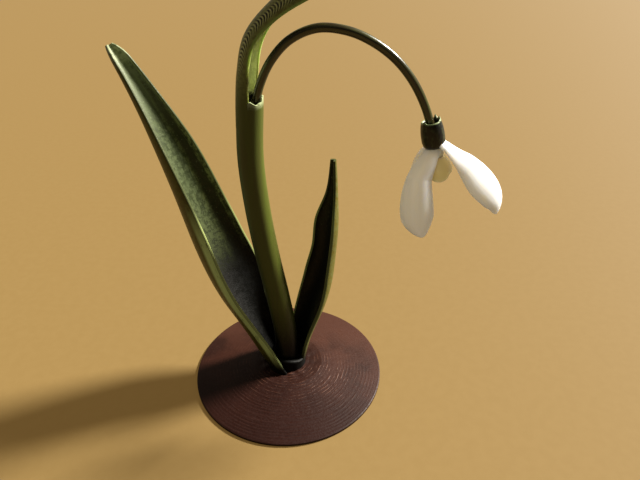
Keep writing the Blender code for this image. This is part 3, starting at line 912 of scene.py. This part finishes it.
def make_ovary(settings):
    """The ovary: a barrel's profile turned round, with a torn rim about the stalk's hole."""
    top = OVARY_HEIGHT
    profile = dense([(0.0, top - 1.2), (1.45, top - 1.2), (1.55, top - 0.3), (1.75, top - 0.02),
                     (1.9, top + 0.02), (2.05, top - 0.12), (2.22, top - 0.8), (2.36, top - 1.7),
                     (2.44, 3.0), (OVARY_RADIUS, 2.1), (2.42, 1.4), (2.28, 0.75), (1.95, 0.22),
                     (1.5, 0.0), (0.0, -0.05)], 0.2)

    def torn(radius, height, angle):
        """Lifts the rim by its tears, which fade down the ovary by a square."""
        reach = 0.9
        near_top = np.clip((height - top + reach) / reach, 0.0, 1.0) ** 2
        return 0 * radius, near_top * torn_lift(np.degrees(angle), OVARY_TEARS)

    rings = turned(profile, round_angles(120), torn)
    lip = np.clip((profile[:, 1][:, None] - top + 0.2) / 0.12, 0.0, 1.0)
    mesh = hang(loop_mesh("ovary", rings, {"lip": lip}))
    piece("ovary_print", mesh, ovary_finish(settings), "ovary_green", "ovary")


def make_seat(settings):
    """The white seat under the ovary that carries the petals: its profile turned round."""
    profile = dense([(0.0, 0.3), (1.5, 0.3), (1.85, 0.0), (1.95, -0.5), (1.85, -1.2),
                     (1.6, CUP_TOP - 0.1), (0.0, CUP_TOP - 0.1)], 0.2)
    mesh = hang(loop_mesh("petal_seat", turned(profile, round_angles(72)), {"across": 0.0, "along": 0.0}))
    finish = petal_finish("seat_white_print", settings.seat, settings.cup_shade, 0.8)
    piece("petal_seat", mesh, finish, "petal_white")


def make_petals(settings):
    """The three outer petals, each a mesh of its own in one finish."""
    finish = petal_finish("petal_white_print", settings.petal, settings.petal_shade, 1.0)
    wall = settings.petal_wall / MM
    for number, shape in enumerate(OUTER_PETALS, start=1):
        rings, marks = petal_rings(shape, wall)
        mesh = hang(loop_mesh(f"outer_tepal_{number}", rings, marks, caps=True))
        piece(f"outer_tepal_{number}_print", mesh, finish, "petal_white", f"outer_tepal_{number}")


def make_cup(settings):
    """The inner cup: a profile turned round, whose wall ends higher between the lobes."""
    end = CUP_TOP - CUP_LENGTH
    outer = [(0.0, CUP_TOP), (1.4, CUP_TOP), (1.9, CUP_TOP - 0.4), (2.3, CUP_TOP - 1.2),
             (2.9, CUP_TOP - 2.4), (CUP_RADIUS, CUP_TOP - 3.6), (CUP_RADIUS - 0.02, end + 0.7),
             (CUP_RADIUS - 0.12, end + 0.1)]
    rim = [(CUP_RADIUS - 0.4, end - 0.1)]
    inner = [(radius - CUP_WALL, height) for radius, height in reversed(outer[3:-1])]
    profile = dense(outer + rim + inner + [(0.0, CUP_TOP - CUP_ROOF)], 0.25)

    def lobes(radius, height, angle):
        """Between lobes, by half of 1 plus a cosine, the wall's end draws in and rises."""
        low = np.clip((CUP_TOP - 1.2 - height) / (CUP_LENGTH - 1.2), 0.0, 1.0)
        between = (1 + np.cos(CUP_LOBES * (angle - math.pi / 2))) / 2
        return -0.35 * between * low ** 3, 0.8 * between ** 1.5 * low ** 1.5

    angles = round_angles(144)
    marks = {"across": np.sin(angles)[None, :], "along": 0.0}
    mesh = hang(loop_mesh("inner_tepals", turned(profile, angles, lobes), marks))
    # The cup's cream is partly painted shade: warmer and darker than the white it is printed in.
    finish = petal_finish("cup_cream_print", settings.cup, settings.cup_shade, 1.0)
    piece("inner_cup_print", mesh, finish, "cup_cream", "inner_tepals")


# Floor, lights and camera

def make_floor(settings):
    """A plain square floor. It gives off a weak light of its own, which lifts its shadows."""
    mesh = bpy.data.meshes.new("floor")
    corners = np.array([(-1, -1, 0), (1, -1, 0), (1, 1, 0), (-1, 1, 0)]) * FLOOR_REACH
    mesh.from_pydata(corners.tolist(), [], [(0, 1, 2, 3)])
    finish = Finish("floor_pale", 0.8, 0.2)
    dust = finish.noise(finish.place(), 0.4 * PER_MM, 2.0)
    tone = finish.blend(finish.band(dust, 0.3, 0.7), settings.floor, settings.floor_shade)
    finish.set(finish.shader, "Emission Color", settings.bounce)
    finish.set(finish.shader, "Emission Strength", 1.0)
    mesh.materials.append(finish.done(tone))
    floor = add_object("floor", mesh)
    floor.visible_diffuse = False     # so that its colour doesn't tint what stands on it


def make_sky(settings):
    """Light from all round: its strength runs evenly from the front to the back."""
    world = bpy.data.worlds.new("studio")
    world.use_nodes = True
    tree = world.node_tree
    sky = tree.nodes["Background"]
    sky.inputs["Color"].default_value = (*settings.sky, 1.0)
    direction = tree.nodes.new("ShaderNodeTexCoord").outputs["Generated"]
    parts = tree.nodes.new("ShaderNodeSeparateXYZ")
    tree.links.new(direction, parts.inputs[0])
    rise = tree.nodes.new("ShaderNodeMapRange")
    tree.links.new(parts.outputs[1], rise.inputs["Value"])
    for key, value in (("From Min", -1.0), ("To Min", settings.sky_front), ("To Max", settings.sky_back)):
        rise.inputs[key].default_value = value
    tree.links.new(rise.outputs[0], sky.inputs["Strength"])
    bpy.context.scene.world = world


def add_sun(name, strength, spread, colour, tilt, turned_by):
    """A sun lamp, tilted from straight down and then turned about Z."""
    light = bpy.data.lights.new(name, "SUN")
    light.energy = strength
    light.angle = math.radians(spread)
    light.color = colour
    lamp = add_object(name, light)
    lamp.rotation_euler = (tilt, 0.0, turned_by)
    return lamp


def make_lights(settings):
    """A low key light, and a soft fill that stands for the light that comes through the petals."""
    add_sun("key", settings.key_strength, KEY_SPREAD, KEY_COLOUR,
            math.pi / 2 - settings.key_height, settings.key_azimuth + math.pi / 2)
    fill = add_sun("petal_fill", settings.fill_strength, FILL_SPREAD, settings.fill,
                   math.radians(FILL_TILT), math.radians(FILL_TURN))
    lit = bpy.data.collections.new("petal_fill_lights")
    for name in FILLED:
        lit.objects.link(bpy.data.objects[name])
    fill.light_linking.receiver_collection = lit


def make_camera():
    """The camera, in front of the ornament and above it."""
    lens = bpy.data.cameras.new("camera")
    lens.lens = LENS
    lens.sensor_width = SENSOR_WIDTH
    lens.clip_start = CLIP_START
    camera = add_object("camera", lens)
    camera.location = CAMERA_AT
    camera.rotation_euler = (math.radians(CAMERA_TILT), 0.0, 0.0)
    bpy.context.scene.camera = camera
    bpy.context.scene.view_settings.view_transform = "Standard"


# Settings that a user would change

def colour(name, description, value):
    """A setting for a colour, from its display values from 0 to 255."""
    return FloatVectorProperty(name=name, description=description, default=paint(*value), size=3,
                               min=0.0, max=1.0, subtype="COLOR")


def length(name, description, value):
    """A setting for a length, from millimetres."""
    return FloatProperty(name=name, description=description, default=value * MM, min=0.0,
                         subtype="DISTANCE", unit="LENGTH")


def degrees(name, description, value):
    """A setting for an angle, from degrees."""
    return FloatProperty(name=name, description=description, default=math.radians(value),
                         subtype="ANGLE", unit="ROTATION")


def strength(name, description, value):
    """A setting for a light's strength."""
    return FloatProperty(name=name, description=description, default=value, min=0.0)


class BaseSettings(bpy.types.PropertyGroup):
    layer: length("Layer height", "Fall of the base's cone in one terrace", 0.155)
    terrace: length("Terrace relief", "Depth of the waves that the terraces make", 0.045)
    colour: colour("Soil brown", "Main colour of the base", (46, 22, 14))
    # Dark brown: random patches, and painted shade round the foot.
    dark: colour("Dark brown", "Colour of the base's darker patches", (34, 15, 9))
    # Light brown: the grain, and painted light to the base's back right.
    light: colour("Light brown", "Colour of the base's worn grain", (64, 38, 28))
    # Painted shade at the base's front left.
    front_left_shade: colour("Deep brown", "Colour that the base turns to at its front left", (32, 12, 7))
    # Scuffs, and painted highlights on the base's ring noses.
    scuff_and_glint: colour("Scuffs", "Colour of the rough marks round the foot", (104, 70, 54))


class LeafSettings(bpy.types.PropertyGroup):
    wall: length("Leaf wall", "Thickness of the leaves", 0.9)
    # Partly painted light: this green is lightened for the hollow's shaded back edge.
    inner: colour("Inner green", "Colour of the leaves' hollow side", (138, 150, 92))
    inner_dark: colour("Inner dark", "Colour of the mottle on the hollow side", (42, 50, 24))
    band: colour("Band", "Colour of the pale band along the long leaf's hollow", (82, 91, 61))
    # Painted shade beside the band.
    stripe: colour("Stripe", "Colour of the dark stripe beside the band", (50, 52, 32))
    speck: colour("Specks", "Colour of the light specks", (120, 128, 96))
    tip: colour("Tip", "Colour of the pale patches at the long leaf's tip", (112, 120, 90))
    # Pale colour of the long leaf's end, in patches.
    tip_end: colour("Tip end", "Colour of the worn end of the long leaf", (146, 154, 118))
    # Painted shade: the near-black feet and the short leaf's hollow.
    foot: colour("Foot", "Colour of the leaves' dark feet", (11, 11, 9))
    # Painted shade, as above: its mottle.
    foot_light: colour("Foot mottle", "Second colour of the leaves' dark feet", (16, 16, 13))
    outer: colour("Outer olive", "Colour of the leaves' outer side", (104, 100, 32))
    outer_short: colour("Short leaf outer", "Colour of the short leaf's outer side", (90, 90, 46))
    outer_dark: colour("Outer dark", "Colour of the darker patches outside", (84, 76, 22))
    # Painted shade on the leaves' upper margins.
    margin_dark: colour("Upper margin", "Colour of the leaves' margins near their tips", (66, 72, 40))
    # Painted highlight along the long leaf's low front margin.
    strip: colour("Strip", "Colour of the pale strip outside the long leaf's front margin", (228, 246, 150))
    # Painted light on the leaves' low margins.
    margin: colour("Margin", "Colour of the leaves' pale margins", (164, 176, 108))


class StemSettings(bpy.types.PropertyGroup):
    wall: length("Hood wall", "Thickness of the hood", 0.75)
    layer: length("Layer height", "Height of one printed layer", 0.2)
    stalk_radius: length("Stalk radius", "Radius of the flower stalk", 0.875)
    colour: colour("Stem green", "Main colour of the stem", (73, 82, 24))
    dark: colour("Stem brown", "Colour of the stem's streaks", (66, 64, 24))
    # Partly painted light: lighter than the stem's green, to lift the hood's shaded outside.
    hood: colour("Hood green", "Main colour of the hood's outside", (146, 150, 76))
    hood_dark: colour("Hood dark", "Colour of the darker patches on the hood", (116, 114, 56))
    # Painted highlights on the hood's printed steps.
    step: colour("Steps", "Colour of the noses of the hood's printed steps", (212, 212, 140))
    # Painted shade: between the hood's steps, inside the mouth and at the lining's low end.
    groove_shade: colour("Grooves", "Colour between the hood's printed steps", (14, 13, 9))
    # Painted highlight along the hood's edges.
    edge: colour("Hood edge", "Colour of the hood's edges", (150, 172, 86))
    # Painted light: pale, for light shining through the hood's thin wall.
    lining: colour("Lining", "Colour of the hood's hollow side", (167, 174, 128))
    lining_light: colour("Lining light", "Colour of the lining's pale patches", (187, 193, 148))
    lip: colour("Lip", "Colour of the mouth's torn lip", (176, 186, 140))
    # Painted shade: the near-black collar and the stem's foot.
    foot: colour("Collar", "Colour of the collar round the stem's foot", (9, 9, 8))
    # Painted shade: the collar's second tone.
    foot_light: colour("Collar mottle", "Second colour of the collar", (15, 15, 12))
    stalk: colour("Stalk green", "Main colour of the flower stalk", (66, 68, 32))
    stalk_dark: colour("Stalk brown", "Colour of the stalk's streaks", (44, 36, 20))


class FlowerSettings(bpy.types.PropertyGroup):
    petal_wall: length("Petal wall", "Thickness of the outer petals", 0.8)
    petal: colour("Petal white", "Main colour of the outer petals", (245, 243, 238))
    petal_shade: colour("Petal shade", "Colour of the petals' faint veins", (236, 234, 224))
    seat: colour("Seat cream", "Colour of the seat under the ovary", (235, 230, 210))
    # Partly painted shade: the white cup's look in shade.
    cup: colour("Cup cream", "Main colour of the inner cup", (236, 214, 160))
    cup_shade: colour("Cup tan", "Colour of the cup's faint veins", (222, 198, 148))
    ovary: colour("Ovary green", "Colour of the ovary's lighter streaks", (52, 60, 38))
    ovary_dark: colour("Ovary dark", "Main colour of the ovary", (14, 14, 13))
    ovary_lip: colour("Ovary lip", "Colour of the ovary's torn lip", (136, 150, 104))


class StageSettings(bpy.types.PropertyGroup):
    floor: colour("Floor", "Colour of the plain floor", (105, 86, 50))
    floor_shade: colour("Floor shade", "Second colour of the plain floor", (103, 84, 48))
    bounce: colour("Floor bounce", "Weak light of the floor's own, which lifts its shadows", (93, 70, 34))
    fill: colour("Fill colour", "Colour of the soft light on the petals", (255, 228, 178))
    fill_strength: strength("Fill strength", "Strength of the soft light on the petals", 0.9)
    sky: colour("Ambient colour", "Colour of the light from all round", (255, 238, 214))
    sky_front: strength("Ambient in front", "Strength of the light from in front", 0.06)
    sky_back: strength("Ambient behind", "Strength of the light from behind", 0.42)
    key_strength: strength("Key strength", "Strength of the main light", 13.0)
    key_azimuth: degrees("Key azimuth", "Direction the main light comes from", 25.0)
    key_height: degrees("Key height", "Height of the main light above the floor", 38.0)


class SNOWDROP_OT_base(bpy.types.Operator):
    """Adds the round brown base with its terraces"""
    bl_idname = "snowdrop.base"
    bl_label = "Base"

    def execute(self, context):
        make_base(context.scene.snowdrop_base)
        return {"FINISHED"}


class SNOWDROP_OT_leaves(bpy.types.Operator):
    """Adds the two channel-shaped leaves"""
    bl_idname = "snowdrop.leaves"
    bl_label = "Leaves"

    def execute(self, context):
        make_leaves(context.scene.snowdrop_leaves)
        return {"FINISHED"}


class SNOWDROP_OT_stem(bpy.types.Operator):
    """Adds the stem with its mouth, hood and collar"""
    bl_idname = "snowdrop.stem"
    bl_label = "Stem and hood"

    def execute(self, context):
        make_stem(context.scene.snowdrop_stem)
        make_collar(context.scene.snowdrop_stem)
        make_hood(context.scene.snowdrop_stem)
        return {"FINISHED"}


class SNOWDROP_OT_stalk(bpy.types.Operator):
    """Adds the thin arched flower stalk"""
    bl_idname = "snowdrop.stalk"
    bl_label = "Flower stalk"

    def execute(self, context):
        make_stalk(context.scene.snowdrop_stem)
        return {"FINISHED"}


class SNOWDROP_OT_flower(bpy.types.Operator):
    """Adds the ovary, the outer petals and the inner cup"""
    bl_idname = "snowdrop.flower"
    bl_label = "Flower"

    def execute(self, context):
        make_ovary(context.scene.snowdrop_flower)
        make_seat(context.scene.snowdrop_flower)
        make_petals(context.scene.snowdrop_flower)
        make_cup(context.scene.snowdrop_flower)
        return {"FINISHED"}


class SNOWDROP_OT_stage(bpy.types.Operator):
    """Adds the plain floor, the lights and the camera"""
    bl_idname = "snowdrop.stage"
    bl_label = "Floor, lights and camera"

    def execute(self, context):
        make_floor(context.scene.snowdrop_stage)
        make_sky(context.scene.snowdrop_stage)
        make_lights(context.scene.snowdrop_stage)
        make_camera()
        return {"FINISHED"}


class SNOWDROP_PT_panel(bpy.types.Panel):
    """Lists the ornament's pieces and settings"""
    bl_label = "Snowdrop"
    bl_idname = "SNOWDROP_PT_panel"
    bl_space_type = "VIEW_3D"
    bl_region_type = "UI"
    bl_category = "Snowdrop"

    def draw(self, context):
        for name, group, operators in STEPS:
            box = self.layout.box()
            settings = getattr(context.scene, name)
            for key in group.__annotations__:
                box.prop(settings, key)
            for operator in operators:
                box.operator(operator)


STEPS = (
    ("snowdrop_base", BaseSettings, ("snowdrop.base",)),
    ("snowdrop_leaves", LeafSettings, ("snowdrop.leaves",)),
    ("snowdrop_stem", StemSettings, ("snowdrop.stem", "snowdrop.stalk")),
    ("snowdrop_flower", FlowerSettings, ("snowdrop.flower",)),
    ("snowdrop_stage", StageSettings, ("snowdrop.stage",)),
)
OPERATORS = (SNOWDROP_OT_base, SNOWDROP_OT_leaves, SNOWDROP_OT_stem, SNOWDROP_OT_stalk,
             SNOWDROP_OT_flower, SNOWDROP_OT_stage)


def register():
    """Registers the settings, the operators and the panel."""
    for name, group, _ in STEPS:
        bpy.utils.register_class(group)
        setattr(bpy.types.Scene, name, PointerProperty(type=group))
    for cls in OPERATORS + (SNOWDROP_PT_panel,):
        bpy.utils.register_class(cls)


def unregister():
    """Takes back what register did, in the opposite order."""
    for cls in (SNOWDROP_PT_panel,) + OPERATORS[::-1]:
        bpy.utils.unregister_class(cls)
    for name, group, _ in STEPS[::-1]:
        delattr(bpy.types.Scene, name)
        bpy.utils.unregister_class(group)


def main():
    """Builds the ornament piece by piece, then the stage."""
    register()
    bpy.ops.snowdrop.base()
    bpy.ops.snowdrop.leaves()
    bpy.ops.snowdrop.stem()
    bpy.ops.snowdrop.stalk()
    bpy.ops.snowdrop.flower()
    bpy.ops.snowdrop.stage()
    bpy.context.view_layer.update()


if __name__ == "__main__":
    main()
